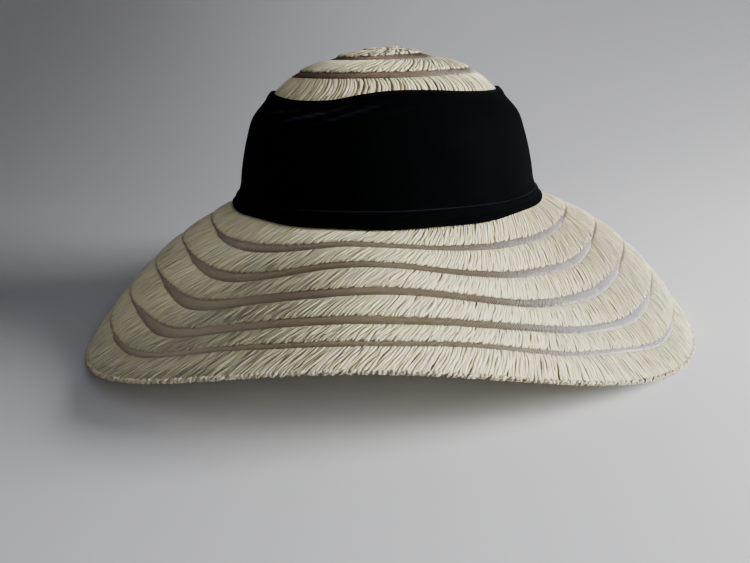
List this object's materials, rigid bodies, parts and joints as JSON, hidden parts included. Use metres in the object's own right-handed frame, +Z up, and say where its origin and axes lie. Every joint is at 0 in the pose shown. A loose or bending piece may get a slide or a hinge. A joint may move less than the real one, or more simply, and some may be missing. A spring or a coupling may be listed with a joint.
{
  "type": "brimmed hat",
  "caption": "Wide-brimmed hat of straw braid rows joined by sheer net bands, with a dark velvet band round its domed crown.",
  "frame": {"origin": "bottom centre of the box, on the surface that the brim's edge rests on", "axes": "+Z up, +X to the right in the front view, +Y from the front to the back"},
  "size_m": [0.3966, 0.4346, 0.1788],
  "materials": {
    "straw": "matt cream straw braid",
    "edge": "matt knotted straw edge",
    "net": "sheer taupe net",
    "velvet": "near-black velvet with a soft sheen"
  },
  "bodies": {
    "root": {"crown_button": "straw", "crown_net_1": "net", "crown_row_2": "straw", "crown_net_2": "net", "crown_row_3": "straw", "crown_wall": "straw", "velvet_band": "velvet", "velvet_hem": "velvet", "brim_row_1": "straw", "brim_net_1": "net", "brim_row_2": "straw", "brim_net_2": "net", "brim_row_3": "straw", "brim_net_3": "net", "brim_row_4": "straw", "brim_net_4": "net", "brim_row_5": "straw", "brim_net_5": "net", "brim_row_6": "straw", "edge_braid": "edge"}
  },
  "joints": []
}
